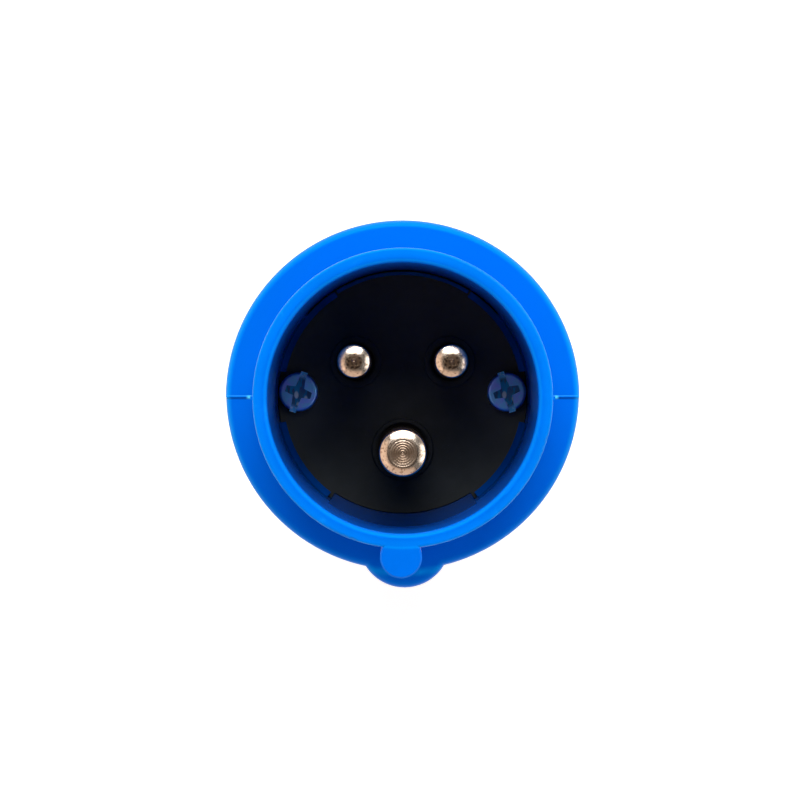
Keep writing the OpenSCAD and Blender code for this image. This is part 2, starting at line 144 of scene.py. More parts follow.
class StudioSettings(bpy.types.PropertyGroup):
    """The lamps, the floor and the camera."""

    key_power: FloatProperty(
        name="Key power", description="Power of the softbox above the top edge",
        default=7.7, min=0, max=200, unit="POWER")
    side_power: FloatProperty(
        name="Side power", description="Power that the side softboxes take their shares of",
        default=3.2, min=0, max=200, unit="POWER")
    world_level: FloatProperty(
        name="World level", description="Level of the surrounding light",
        default=0.98, min=0, max=2)
    ceiling_level: FloatProperty(
        name="Ceiling level", description="How light the ceiling is beside the walls",
        default=0.12, min=0, max=1, subtype="FACTOR")
    floor_colour: FloatVectorProperty(
        name="Floor", description="Pale colour of the floor",
        default=(0.83, 0.83, 0.83), min=0, max=1, subtype="COLOR")
    lens: FloatProperty(
        name="Lens", description="Focal length of the camera in millimetres",
        default=174.4, min=20, max=400, unit="CAMERA")
    distance: FloatProperty(
        name="Distance", description="From the rim of the mouth to the camera",
        default=0.56, min=0.3, max=3, unit="LENGTH")


# ---- colours of lamps, painted light and shade, dirt and wear ----

WHITE = (1.0, 1.0, 1.0)
WARM = (1.0, 0.72, 0.55)
COOL = (1.0, 0.97, 0.94)
CARD_GLOW = (1.0, 0.78, 0.62)

PALE_RUB = (0.25, 0.55, 1.0)
PALE_SCUFF = (0.4, 0.65, 1.0)
# painted highlight on the shell's round edges
EDGE_HIGHLIGHT_BLUE = (0.0, 0.40, 0.98)
# painted shadow, painted highlight and a painted corner highlight along the collar's parting ridge
PARTING_SHADE = (0.0, 0.03, 0.22)
PARTING_LIGHT = (0.02, 0.30, 0.95)
PARTING_CORNER_HIGHLIGHT = (0.12, 0.80, 1.0)

MINERAL = (0.05, 0.055, 0.065)
# painted light on the carrier's floor toward the wall
PAINTED_FILL_LIGHT = (0.058, 0.066, 0.062)

TARNISH = (0.50, 0.40, 0.29)
BARREL_WEAR = (0.74, 0.60, 0.40)
PIT = (0.20, 0.125, 0.08)
# painted dark reflection in the middle of the tips
TIP_MIDDLE_REFLECTION = (0.46, 0.33, 0.235)
RING_SHADE = (0.27, 0.19, 0.135)
# painted dark reflection in a ragged disc on the line pins' tips
DARK_MIDDLE_REFLECTION = (0.15, 0.10, 0.07)
WORN_BRIGHT = (0.72, 0.60, 0.46)
WORN_DARK = (0.07, 0.04, 0.025)
GROOVE = (0.14, 0.10, 0.075)
TIP_EDGE = (0.42, 0.24, 0.15)
# painted shade on the pins' shoulders in the carrier's recess
RECESS_SHADE = (0.012, 0.011, 0.010)

ZINC_VIOLET = (0.22, 0.36, 0.95)
ZINC_GREY = (0.24, 0.38, 0.55)
# painted shade, painted reflections, painted light and painted glints in the screws' recesses
RECESS_SHADE_BLUE = (0.03, 0.115, 0.26)
RECESS_REFLECTION_BLUE = (0.01, 0.34, 0.70)
SLOT_END_LIGHT = (0.05, 0.44, 0.85)
SLOT_END_HIGHLIGHT = (0.45, 0.58, 0.90)
PAINTED_GLINT = (0.50, 0.66, 0.80)

BRASS_PATINA = (0.42, 0.27, 0.10)


def tint(colour, factor):
    """A colour made lighter or darker, kept within 0 and 1."""
    return tuple(min(1.0, max(0.0, c * factor)) for c in colour)


def toward(colour, other, share):
    """A colour moved toward another by a share."""
    return tuple(c * (1 - share) + v * share for c, v in zip(colour, other))


# ---- shader maths ----


class Value:
    """A number on a shader socket, so that maths on it can be written as an expression."""

    def __init__(self, finish, socket):
        self.finish = finish
        self.socket = socket

    def maths(self, operation, *others):
        """The result of a Math node on this value and others."""
        return self.finish.add("ShaderNodeMath", {"operation": operation}, [self, *others])

    def __add__(self, other):
        return self.maths("ADD", other)

    __radd__ = __add__

    def __mul__(self, other):
        return self.maths("MULTIPLY", other)

    __rmul__ = __mul__

    def __sub__(self, other):
        return self.maths("SUBTRACT", other)

    def __rsub__(self, other):
        return self.finish.add("ShaderNodeMath", {"operation": "SUBTRACT"}, [other, self])

    def __truediv__(self, other):
        return self.maths("DIVIDE", other)

    def band(self, start, end):
        """0 below start and 1 above end, smooth between them."""
        return self.finish.add(
            "ShaderNodeMapRange", {"interpolation_type": "SMOOTHSTEP"},
            {"Value": self, "From Min": start, "From Max": end, "To Min": 0.0, "To Max": 1.0})

    def ridge(self, centre, width):
        """1 at centre, falling smoothly to 0 at width on either side."""
        return 1 - (self - centre).maths("ABSOLUTE").band(0.0, width)


class Finish:
    """A procedural material, or a tree of shader nodes."""

    def __init__(self, name, tree=None):
        if tree is None:
            self.material = bpy.data.materials.new(name)
            self.material.use_nodes = True
            tree = self.material.node_tree
        self.tree = tree
        self.tree.nodes.clear()

    def link(self, node, name, value):
        """Links a value to a socket, or sets the socket's own number or colour."""
        socket = node.inputs[name]
        if isinstance(value, Value):
            value = value.socket
        if isinstance(value, bpy.types.NodeSocket):
            self.tree.links.new(value, socket)
        elif socket.type == "RGBA":
            socket.default_value = (*value, 1.0)
        else:
            socket.default_value = value

    def node(self, kind, settings=None, sockets=None):
        """Adds a node: its settings first, then the values or links of its sockets."""
        node = self.tree.nodes.new(kind)
        for name, value in (settings or {}).items():
            setattr(node, name, value)
        pairs = sockets.items() if isinstance(sockets, dict) else enumerate(sockets or [])
        for name, value in pairs:
            self.link(node, name, value)
        return node

    def add(self, kind, settings=None, sockets=None):
        """Adds a node and returns its first output as a Value."""
        return Value(self, self.node(kind, settings, sockets).outputs[0])

    def position(self, centre=(0, 0, 0)):
        """Object coordinates in millimetres, from a point on the piece given in metres."""
        coordinates = self.node("ShaderNodeTexCoord").outputs["Object"]
        mapping = self.node(
            "ShaderNodeMapping", {"vector_type": "POINT"},
            {"Vector": coordinates, "Location": [-c * MM for c in centre], "Scale": (MM,) * 3})
        return mapping.outputs[0]

    def axes(self, vector):
        """The three numbers of a vector."""
        parts = self.node("ShaderNodeSeparateXYZ", {}, [vector])
        return [Value(self, parts.outputs[i]) for i in range(3)]

    def squeezed(self, vector, factors):
        """A vector with its numbers multiplied, which squeezes the pattern along each axis."""
        if factors is None:
            return vector
        product = self.node("ShaderNodeVectorMath", {"operation": "MULTIPLY"}, [vector, factors])
        return product.outputs[0]

    def noise(self, vector, scale, detail=3.0, roughness=0.55, squeeze=None):
        """Noise from 0 to 1; scale is its waves in one unit of the vector."""
        return self.add(
            "ShaderNodeTexNoise", {"noise_dimensions": "3D"},
            {"Vector": self.squeezed(vector, squeeze), "Scale": scale, "Detail": detail,
             "Roughness": roughness})

    def specks(self, vector, scale, inner, outer, squeeze=None):
        """1 in scattered specks and 0 between them; each fades from inner to outer.

        scale is specks in a millimetre, and the two radii are shares of their spacing.
        """
        nearest = self.add(
            "ShaderNodeTexVoronoi", {"feature": "F1"},
            {"Vector": self.squeezed(vector, squeeze), "Scale": scale})
        return 1 - nearest.band(inner, outer)

    def blend(self, first, second, share):
        """A colour between two, by the share of the second."""
        mix = self.node("ShaderNodeMix", {"data_type": "RGBA"}, {0: share, 6: first, 7: second})
        return mix.outputs[2]

    def bump(self, height, depth):
        """A normal from a height field; depth is in metres for a height of 1."""
        sockets = {"Strength": 1.0, "Distance": depth, "Height": height}
        return self.node("ShaderNodeBump", {}, sockets).outputs[0]

    def leaned(self, normal, x, y):
        """A normal that leans by x and y."""
        lean = self.node("ShaderNodeCombineXYZ", {}, [x, y, 0.0]).outputs[0]
        total = self.node("ShaderNodeVectorMath", {"operation": "ADD"}, [normal, lean]).outputs[0]
        return self.node("ShaderNodeVectorMath", {"operation": "NORMALIZE"}, [total]).outputs[0]

    def rays(self, *kinds):
        """1 on rays of the kinds named, and 0 on the rest."""
        path = self.node("ShaderNodeLightPath")
        first, *others = [Value(self, path.outputs[f"Is {kind} Ray"]) for kind in kinds]
        return sum(others, first).maths("MINIMUM", 1.0)

    def surface(self, colour, roughness, normal, metallic=0.0, level=0.5, sheen_tint=WHITE):
        """The shader and its output; level and sheen_tint are of its gloss, the same all over."""
        shader = self.node("ShaderNodeBsdfPrincipled", {}, {
            "Base Color": colour, "Roughness": roughness, "Metallic": metallic,
            "Specular IOR Level": level, "Specular Tint": sheen_tint, "Normal": normal})
        self.node("ShaderNodeOutputMaterial", {}, {"Surface": shader.outputs[0]})
        return self.material


def from_axis(x, y):
    """Distance from an axis."""
    return (x * x + y * y).maths("SQRT")


def phase(distance, spacing):
    """An angle that goes once round for each spacing along a distance, both in millimetres."""
    return distance * (2 * math.pi / spacing)


# ---- finishes ----

# millimetres from one mark of the tool to the next
RING_SPACING = 0.35
TURNING_SPACING = 0.16
SCREW_RING_SPACING = 0.31


def spark_texture(finish, colour, grain, roughness):
    """What satin mouldings share: a fine texture, a cloudy colour and faint rubbed spots.

    grain is the waves of the texture in a millimetre.
    """
    place = finish.position()
    cloud = finish.noise(place, 0.055, detail=4.0)
    mottle = finish.noise(place, 0.9)
    texture = finish.noise(place, grain, detail=2.0, roughness=0.6)
    flow = finish.noise(place, 0.6, squeeze=(0.12, 0.12, 1.1))
    rubbed = finish.noise(place, 0.21, detail=5.0, roughness=0.7).band(0.60, 0.78)
    scuff = finish.noise(place, 0.5, detail=4.0, roughness=0.7, squeeze=(4.0, 0.35, 1.2))
    scuff = scuff.band(0.70, 0.80)
    shade = cloud * 0.7 + mottle * 0.16 + flow * 0.14
    base = finish.blend(tint(colour, 0.93), tint(colour, 1.06), shade.band(0.34, 0.66))
    base = finish.blend(base, toward(colour, PALE_RUB, 0.1), rubbed * 0.22)
    base = finish.blend(base, toward(colour, PALE_SCUFF, 0.15), scuff * 0.2)
    rough = roughness + (texture - 0.5) * 0.10 + rubbed * -0.07 + scuff * 0.06
    rough = rough + (cloud - 0.5) * 0.05
    height = texture * 0.7 + mottle * 0.3 + scuff * -0.5
    return SimpleNamespace(
        place=place, cloud=cloud, rubbed=rubbed, base=base, rough=rough, height=height)


def moulded(name, colour, grain, roughness, level, depth, sheen_tint=WHITE):
    """Satin moulded plastic; depth is that of its spark texture, in metres."""
    finish = Finish(name)
    spark = spark_texture(finish, colour, grain, roughness)
    return finish.surface(spark.base, spark.rough, finish.bump(spark.height, depth),
                          level=level, sheen_tint=sheen_tint)


def parting_line(finish, base, colour, radius, y, z, foot, face):
    """The collar face in painted shade, with painted shadow and highlight along the parting ridge.

    foot is the radius of the sleeve's foot, from where the line runs outward, and face its height.
    """
    outside = radius.band(foot, foot + 0.3) * (1 - z.band(face + 1, face + 3))
    # painted shade: the collar's face a little darker
    base = finish.blend(base, tint(colour, 0.96), outside)
    line = outside * (1 - z.band(face + 0.4, face + 0.8))
    # painted shadow just under the parting ridge, painted highlight just above it
    base = finish.blend(base, PARTING_SHADE, line * y.ridge(centre=-0.18, width=0.34) * 0.75)
    base = finish.blend(base, PARTING_LIGHT, line * y.ridge(centre=0.18, width=0.18) * 0.5)
    # painted highlight on the parting ridge near the sleeve's foot
    corner = line * radius.ridge(centre=foot + 1.35, width=0.55)
    return finish.blend(base, PARTING_CORNER_HIGHLIGHT, corner * y.ridge(centre=-0.05, width=0.40))


def moulded_shell(name, colour, grain, roughness, depth, sheen_tint,
                  foot, face, painted_edge_highlights, core):
    """The front shell's moulded plastic: parting line, painted edge highlights, polished mouth.

    foot, face, core and the edges are in millimetres. Inside the radius core, the wall is as
    smooth as the core that moulded it, and painted shade darkens its colour to a third. The edges
    are the (radius, height, width, share) of round edges painted lighter as highlights.
    """
    finish = Finish(name)
    spark = spark_texture(finish, colour, grain, roughness)
    x, y, z = finish.axes(spark.place)
    radius = from_axis(x, y)
    base = parting_line(finish, spark.base, colour, radius, y, z, foot, face)
    rough = spark.rough
    # painted highlight: each round edge made lighter, patchy with the rubbed spots
    for edge_radius, edge_height, width, share in painted_edge_highlights:
        edge = radius.ridge(edge_radius, width) * z.ridge(edge_height, width * 1.6)
        base = finish.blend(base, EDGE_HIGHLIGHT_BLUE, edge * (share + spark.rubbed * 0.3))
        rough = rough + edge * 0.12
    # painted shade: inside the mouth the wall is smoother, and its colour darkened to a third
    inside = 1 - radius.band(core + 0.22, core + 0.5)
    rough = rough * (1 - inside) + inside * (0.15 + (spark.cloud - 0.5) * 0.06)
    base = finish.blend(base, tint(colour, 0.33), inside)
    height = spark.height * (1 - inside * 0.98)
    return finish.surface(base, rough, finish.bump(height, depth), sheen_tint=sheen_tint)


def thermoset(name, colour):
    """Black moulding of the carrier: fine mineral specks and dust, and painted light toward the
    wall.
    """
    finish = Finish(name)
    place = finish.position()
    x, y, _ = finish.axes(place)
    cloud = finish.noise(place, 0.16, detail=4.0)
    texture = finish.noise(place, 7.0, detail=2.0)
    mineral = finish.specks(place, 1.7, inner=0.05, outer=0.13)
    dust = finish.noise(place, 0.8, detail=5.0, roughness=0.7).band(0.62, 0.75)
    base = finish.blend(tint(colour, 0.75), tint(colour, 1.35), cloud.band(0.3, 0.7))
    base = finish.blend(base, MINERAL, mineral * 0.28 + dust * 0.18)
    # painted light: lighter with distance from a point below the middle, toward the wall and the
    # top
    painted_fill_centre = -10.0
    painted_fill = from_axis(x, y - painted_fill_centre).band(3.0, 27.0)
    base = finish.blend(base, PAINTED_FILL_LIGHT, painted_fill * (0.75 + cloud * 0.25))
    rough = 0.56 + (texture - 0.5) * 0.16 + dust * 0.14
    normal = finish.bump(texture * 0.8 + cloud * 0.2, depth=0.00002)
    return finish.surface(base, rough, normal, level=0.13)


def rubber(name, colour):
    """Moulded black rubber with bloom and a fine grain."""
    finish = Finish(name)
    place = finish.position()
    bloom = finish.noise(place, 0.35, detail=5.0, roughness=0.65).band(0.45, 0.75)
    texture = finish.noise(place, 5.0, roughness=0.65)
    base = finish.blend(tint(colour, 0.8), tuple(c + 0.025 for c in colour), bloom)
    rough = 0.66 + bloom * 0.14 + (texture - 0.5) * 0.12
    return finish.surface(base, rough, finish.bump(texture, depth=0.00004), level=0.3)


def plated(name, axis, tip, root, colour, pin_radius, faced, middle_darkness):
    """Nickel plated turned brass: ring marks and pits on the tip, fine lines along the barrel.

    axis and the heights tip and root are in metres. pin_radius, and faced for the tip's flat, are
    in millimetres. The last argument is how dark a ragged disc in the tip's middle is painted, a
    painted dark reflection. Below root, the shoulder in the carrier's recess gets painted shade.
    """
    finish = Finish(name)
    place = finish.position((axis[0], axis[1], tip))
    x, y, z = finish.axes(place)
    radius = from_axis(x, y)
    on_tip = z.band(-pin_radius * 0.42, -pin_radius * 0.3)
    on_flat = on_tip * (1 - radius.band(faced - 0.04, faced + 0.04))
    feed = (phase(radius, RING_SPACING) + finish.noise(place, 0.9) * 1.6).maths("SINE")
    pits = finish.noise(place, 2.4, detail=4.0, roughness=0.75)
    tarnish = finish.noise(place, 0.55, detail=5.0, roughness=0.7).band(0.48, 0.72)
    wiped = finish.noise(place, 0.9, detail=4.0, roughness=0.7, squeeze=(1.6, 1.6, 0.3))
    root_in_recess = 1 - z.band((root - tip) * MM - 0.1, (root - tip) * MM + 0.05)

    base = finish.blend(colour, TARNISH, tarnish * 0.5)
    base = finish.blend(base, BARREL_WEAR, wiped.band(0.58, 0.74) * 0.35 * (1 - on_tip))
    base = finish.blend(base, PIT, on_tip * pits.band(0.52, 0.64) * 0.8)
    # painted dark reflection: the middle of the tip darker
    centre = 1 - radius.band(pin_radius * 0.34, pin_radius * 0.60)
    base = finish.blend(base, TIP_MIDDLE_REFLECTION, on_tip * centre * 0.8)
    base = finish.blend(base, RING_SHADE, on_flat * (0.42 - feed * 0.32))
    # painted dark reflection: a ragged disc in the middle of the tip, with bright and dark specks
    if middle_darkness:
        ragged = radius + (pits - 0.5) * 0.9
        dark_middle = 1 - ragged.band(pin_radius * 0.44, pin_radius * 0.52)
        dark_middle = on_tip * dark_middle * radius.band(0.25, 0.5)
        worn = dark_middle * min(1.0, middle_darkness * 3.0)
        bright = finish.specks(place, 1.7, inner=0.28, outer=0.42)
        dark = finish.specks(place, 2.3, inner=0.34, outer=0.48)
        base = finish.blend(base, DARK_MIDDLE_REFLECTION, dark_middle * middle_darkness)
        base = finish.blend(base, WORN_BRIGHT, worn * bright * 0.9)
        base = finish.blend(base, WORN_DARK, worn * dark * 0.9)
    base = finish.blend(base, GROOVE, radius.ridge(centre=faced, width=0.17) * on_tip * 0.85)
    edge = radius.band(pin_radius * 0.88, pin_radius * 0.97)
    base = finish.blend(base, TIP_EDGE, edge * 0.8)
    # painted shade: the shoulder down in the carrier's recess made nearly black
    base = finish.blend(base, RECESS_SHADE, root_in_recess)

    drawn = finish.noise(place, 1.0, roughness=0.6, squeeze=(9.0, 9.0, 0.25)) - 0.5
    turned = phase(z, TURNING_SPACING).maths("SINE") * 0.22
    turned = turned + finish.noise(place, 1.0, detail=2.0, squeeze=(0.2, 0.2, 7.0))
    rough = 0.20 + on_flat * 0.05 + tarnish * 0.10 + drawn * 0.08 + root_in_recess * 0.4
    height = pits * on_tip * 0.8 + (turned + drawn * 0.6) * (1 - on_tip) * 0.5
    slope = feed * on_flat / radius
    normal = finish.leaned(finish.bump(height, depth=0.0000045), x * slope * 0.08, y * slope * 0.23)
    return finish.surface(base, rough, normal, metallic=1.0)


def passivated(name, centre, head_top, colour):
    """Zinc plated steel, blotchy blue passivation; painted shade, light and glints in its recess.
    """
    finish = Finish(name)
    place = finish.position((centre[0], centre[1], head_top))
    x, y, z = finish.axes(place)
    radius = from_axis(x, y)
    blotch = finish.noise(place, 0.42, detail=4.0, roughness=0.6)
    fine = finish.noise(place, 3.6, roughness=0.6)
    in_recess = 1 - z.band(-1.0, -0.2)
    # painted shade: the recess darker, except toward the slot's ends
    recess_shade = in_recess * (1 - radius.band(2.0, 2.9))
    recess_streaks = finish.noise(place, 1.0, squeeze=(1.6, 0.5, 1.0)).band(0.48, 0.60)
    slot_end = in_recess * radius.band(2.1, 2.6)
    painted_glint = finish.specks(place, 0.62, inner=0.14, outer=0.26, squeeze=(1.0, 0.6, 1.0))
    painted_glint = in_recess * painted_glint
    base = finish.blend(colour, ZINC_VIOLET, blotch.band(0.42, 0.62))
    base = finish.blend(base, ZINC_GREY, fine.band(0.58, 0.75) * 0.5)
    base = finish.blend(base, RECESS_SHADE_BLUE, recess_shade * 0.88)
    # painted reflection: lighter blue streaks in the recess
    base = finish.blend(base, RECESS_REFLECTION_BLUE, in_recess * recess_streaks * 0.75)
    # painted light at the slot's ends, with paler painted highlights in patches
    base = finish.blend(base, SLOT_END_LIGHT, slot_end * 0.8)
    base = finish.blend(base, SLOT_END_HIGHLIGHT, slot_end * fine.band(0.50, 0.60) * 0.7)
    # painted glints: pale specks in the recess
    base = finish.blend(base, PAINTED_GLINT, painted_glint)
    rings = phase(radius, SCREW_RING_SPACING).maths("SINE")
    rough = 0.40 + (blotch - 0.5) * 0.2 + (fine - 0.5) * 0.15 + painted_glint * 0.2
    normal = finish.bump(rings * 0.25 + fine, depth=0.00001)
    return finish.surface(base, rough, normal, metallic=0.85)


def turned_brass(name, colour):
    """Turned brass with knurl marks and darkened patches."""
    finish = Finish(name)
    place = finish.position()
    patch = finish.noise(place, 0.7, detail=4.0, roughness=0.6).band(0.45, 0.7)
    lines = finish.noise(place, 1.0, detail=2.0, squeeze=(0.3, 0.3, 9.0))
    base = finish.blend(colour, BRASS_PATINA, patch * 0.6)
    rough = 0.28 + patch * 0.15
    return finish.surface(base, rough, finish.bump(lines, depth=0.000008), metallic=1.0)


def floor_finish(colour):
    """A pale floor, which shows white to the camera and in reflections, and keeps its shadows."""
    finish = Finish("floor_pale")
    place = finish.node("ShaderNodeTexCoord").outputs["Object"]  # in metres, as the floor is large
    cloud = finish.noise(place, 3.0, detail=2.0)
    shade = finish.blend(tint(colour, 0.985), colour, cloud)
    matt = finish.node("ShaderNodeBsdfDiffuse", {}, {"Color": shade})
    seen = finish.rays("Camera", "Glossy", "Transmission")
    glow = finish.node("ShaderNodeEmission", {}, {"Color": WHITE, "Strength": seen * 0.55})
    both = finish.node("ShaderNodeAddShader", {}, [matt.outputs[0], glow.outputs[0]])
    finish.node("ShaderNodeOutputMaterial", {}, {"Surface": both.outputs[0]})
    return finish.material


def card_finish():
    """A dim card, which shows in reflections alone."""
    finish = Finish("card_dark")
    level = finish.rays("Glossy") * 0.16
    glow = finish.node("ShaderNodeEmission", {}, {"Color": CARD_GLOW, "Strength": level})
    finish.node("ShaderNodeOutputMaterial", {}, {"Surface": glow.outputs[0]})
    return finish.material


def dress(node, material):
    """Gives a CAD node its finish."""
    piece = frame["nodes"][node]
    for slot in piece.material_slots:
        slot.material = material


# ---- modelling ----

MERGE_DISTANCE = 0.000001
SHARP_EDGE = math.radians(35)
FLOOR_RADIUS, FLOOR_GAP = 5.0, 0.0002
CARD_RADIUS, CARD_HEIGHT = 0.26, 0.80
AIM_DEPTH = 0.03  # the softboxes face a point this far inside the mouth


def deselect_all():
    """Nothing stays selected or in edit mode."""
    if bpy.context.object and bpy.context.object.mode != "OBJECT":
        bpy.ops.object.mode_set(mode="OBJECT")
    bpy.ops.object.select_all(action="DESELECT")


def select_only(piece):
    """Selects one piece and makes it the active one."""
    deselect_all()
    piece.select_set(True)
    bpy.context.view_layer.objects.active = piece


def named(name):
    """The object just added, renamed."""
    piece = bpy.context.object
    piece.name = name
    piece.data.name = name
    return piece


def settle(piece):
    """Puts a piece's place, turn and size into its mesh."""
    select_only(piece)
    bpy.ops.object.transform_apply(location=True, rotation=True, scale=True)


def helix(name, root, crest, start, turns, pitch, steps, phase_angle, foot, top):
    """One ridge of a screw thread: a bar tapered in edit mode, then swept by a Screw modifier.

    The bar is foot high at the radius root and top high at the radius crest. It starts at the
    height start and the turn phase_angle, and steps are its faces along one turn.
    """
    between = (root + crest) / 2
    deselect_all()
    bpy.ops.mesh.primitive_plane_add(
        size=1, location=(between, 0, start), rotation=(math.pi / 2, 0, 0))
    piece = named(name)
    piece.scale = (crest - root, foot, 1)
    settle(piece)
    bpy.ops.object.mode_set(mode="EDIT")
    bpy.ops.mesh.select_mode(type="VERT")
    bar = bmesh.from_edit_mesh(piece.data)
    for vertex in bar.verts:
        vertex.select_set(vertex.co.x > between)
    bar.select_flush_mode()
    bmesh.update_edit_mesh(piece.data)
    bpy.ops.transform.resize(value=(1, 1, top / foot), center_override=(crest, 0, start))
    bpy.ops.object.mode_set(mode="OBJECT")
    sweep = piece.modifiers.new("Sweep", "SCREW")
    sweep.axis = "Z"
    sweep.angle = 2 * math.pi * turns
    sweep.screw_offset = pitch * turns
    sweep.steps = sweep.render_steps = round(steps * turns)
    sweep.use_merge_vertices = False
    sweep.use_smooth_shade = False
    bpy.ops.object.modifier_apply(modifier=sweep.name)
    piece.rotation_euler = (0, 0, phase_angle)
    settle(piece)
    return piece


def close_ends(piece):
    """Fills the open ends of a swept bar, merges doubles and turns the faces outward."""
    select_only(piece)
    bpy.ops.object.mode_set(mode="EDIT")
    bpy.ops.mesh.select_all(action="DESELECT")
    bpy.ops.mesh.select_non_manifold(
        extend=False, use_wire=False, use_boundary=True,
        use_multi_face=False, use_non_contiguous=False, use_verts=False)
    bpy.ops.mesh.fill_holes(sides=8)
    bpy.ops.mesh.select_all(action="SELECT")
    bpy.ops.mesh.remove_doubles(threshold=MERGE_DISTANCE)
    bpy.ops.mesh.normals_make_consistent(inside=False)
    bpy.ops.object.mode_set(mode="OBJECT")


def check_closed(piece):
    """Raises an error if a piece has an open edge."""
    mesh = bmesh.new()
    mesh.from_mesh(piece.data)
    open_edges = sum(1 for edge in mesh.edges if len(edge.link_faces) != 2)
    volume = mesh.calc_volume(signed=True)
    mesh.free()
    if open_edges or volume <= 0:
        raise RuntimeError(f"{piece.name} has {open_edges} open edges and a volume of {volume}")


def finish_ridge(ridge, carrier):
    """Closes a swept ridge and gives it the finish of the CAD node that carries it."""
    close_ends(ridge)
    check_closed(ridge)
    bpy.ops.object.shade_smooth_by_angle(angle=SHARP_EDGE)
    ridge.data.materials.append(frame["nodes"][carrier].material_slots[0].material)


# ---- operators ----


class PLUG_OT_mouldings(bpy.types.Operator):
    """Finish the blue shell and handle, the black carrier and the grey retainer."""

    bl_idname = "plug.mouldings"
    bl_label = "Mouldings"

    def execute(self, context):
        colours = context.scene.plug_colours
        rim, sleeve, collar = RIM * MM, SLEEVE_RADIUS * MM, COLLAR_RADIUS * MM
        core = CARRIER_RADIUS * MM + 0.1
        face = FLOOR_OF_MOUTH * MM - 0.5
        # round edges painted lighter as highlights: radius, height, width, share
        painted_edge_highlights = (
            (sleeve - 0.1, rim - 0.15, 0.35, 0.25),  # outer edge of the rim
            (sleeve - 0.6, rim, 0.9, 0.08),  # top of the rim
            (core + 0.72, rim - 0.2, 0.4, 0.2),  # inner edge of the rim
            (collar - 0.2, face - 0.25, 0.9, 0.5),  # edge of the collar
        )
        dress("front_shell", moulded_shell(
            "shell_blue", colours.shell, grain=5.2, roughness=0.36, depth=0.000016,
            sheen_tint=colours.sheen, foot=sleeve + 0.55, face=face, painted_edge_highlights=painted_edge_highlights,
            core=core))
        dress("handle", moulded(
            "handle_blue", colours.handle, grain=3.0, roughness=0.46, level=0.5, depth=0.00004,
            sheen_tint=colours.sheen))
        dress("contact_carrier", thermoset("carrier_black", colours.carrier))
        dress("pin_retainer", moulded(
            "retainer_grey", colours.grey, grain=4.0, roughness=0.52, level=0.35, depth=0.00003))
        return {"FINISHED"}


class PLUG_OT_wall_foot(bpy.types.Operator):
    """Add the shell's narrow ledge at the foot of the mouth's wall, open at the screws and step."""

    bl_idname = "plug.wall_foot"
    bl_label = "Foot of the wall"

    # name, first and last degree from the right-hand side, share of the ledge's width
    STRETCHES = (
        ("ledge_upper_right", 12, 57, 1.0),
        ("ledge_top", 58, 122, 0.55),
        ("ledge_upper_left", 123, 168, 1.0),
        ("ledge_lower_left", 192, 233, 1.0),
        ("ledge_lower_right", 307, 348, 1.0),
    )

    def execute(self, context):
        sizes = context.scene.plug_sizes
        wall = CARRIER_RADIUS + 0.00015
        inner_height, height_share = 0.0002, 1.6
        for name, first, last, share in self.STRETCHES:
            turn = (last - first) / 360
            width = sizes.ledge * share
            ledge = helix(
                name, root=wall - width, crest=wall, start=FLOOR_OF_MOUTH, turns=turn, pitch=0.0,
                steps=sizes.ledge_steps / turn, phase_angle=math.radians(first),
                foot=inner_height, top=width * height_share)
            finish_ridge(ledge, "front_shell")
            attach(ledge, HOUSING)
        return {"FINISHED"}


class PLUG_OT_contacts(bpy.types.Operator):
    """Finish the three plated contact pins, each turned about its own axis."""

    bl_idname = "plug.contacts"
    bl_label = "Contacts"

    def execute(self, context):
        colours = context.scene.plug_colours
        for node, mount in PINS.items():
            radius = mount["dims"]["r_mm"]
            # only the line pins get the painted dark reflection in the middle of their tips
            faced, middle_darkness = (0.63, 0.0) if node == "earth_pin" else (0.16, 0.35)
            dress(node, plated(
                f"{node}_plating", mount["pos_m"], high(node).z, FLOOR_OF_MOUTH,
                colours.plating, radius, radius * faced, middle_darkness))
        return {"FINISHED"}


class PLUG_OT_screws(bpy.types.Operator):
    """Finish the fixing, terminal and retainer screws and the brass inserts."""

    bl_idname = "plug.screws"
    bl_label = "Screws and inserts"

    def execute(self, context):
        colours = context.scene.plug_colours
        for node in ("left_fixing_screw", "right_fixing_screw", "line_terminal_screw",
                     "neutral_terminal_screw", "earth_terminal_screw", "retainer_screw"):
            dress(node, passivated(f"{node}_zinc", middle(node), high(node).z, colours.zinc))
        brass = turned_brass("insert_brass", colours.brass)
        for node in ("left_insert", "right_insert"):
            dress(node, brass)
        return {"FINISHED"}


class PLUG_OT_gland(bpy.types.Operator):
    """Finish the gland nut, slip ring, clamping cage, cable seal, ring seal and gasket."""

    bl_idname = "plug.gland"
    bl_label = "Gland and seals"

    def execute(self, context):
        colours = context.scene.plug_colours
        grey = moulded(
            "gland_grey", colours.grey, grain=3.4, roughness=0.5, level=0.36, depth=0.00004)
        dress("gland_nut", grey)
        dress("thrust_ring", grey)
        dress("clamp_cage", moulded(
            "cage_white", colours.cage, grain=4.2, roughness=0.48, level=0.4, depth=0.00002))
        black = rubber("seal_rubber", colours.rubber)
        for node in ("cable_seal", "neck_seal_ring", "shell_gasket"):
            dress(node, black)
        return {"FINISHED"}


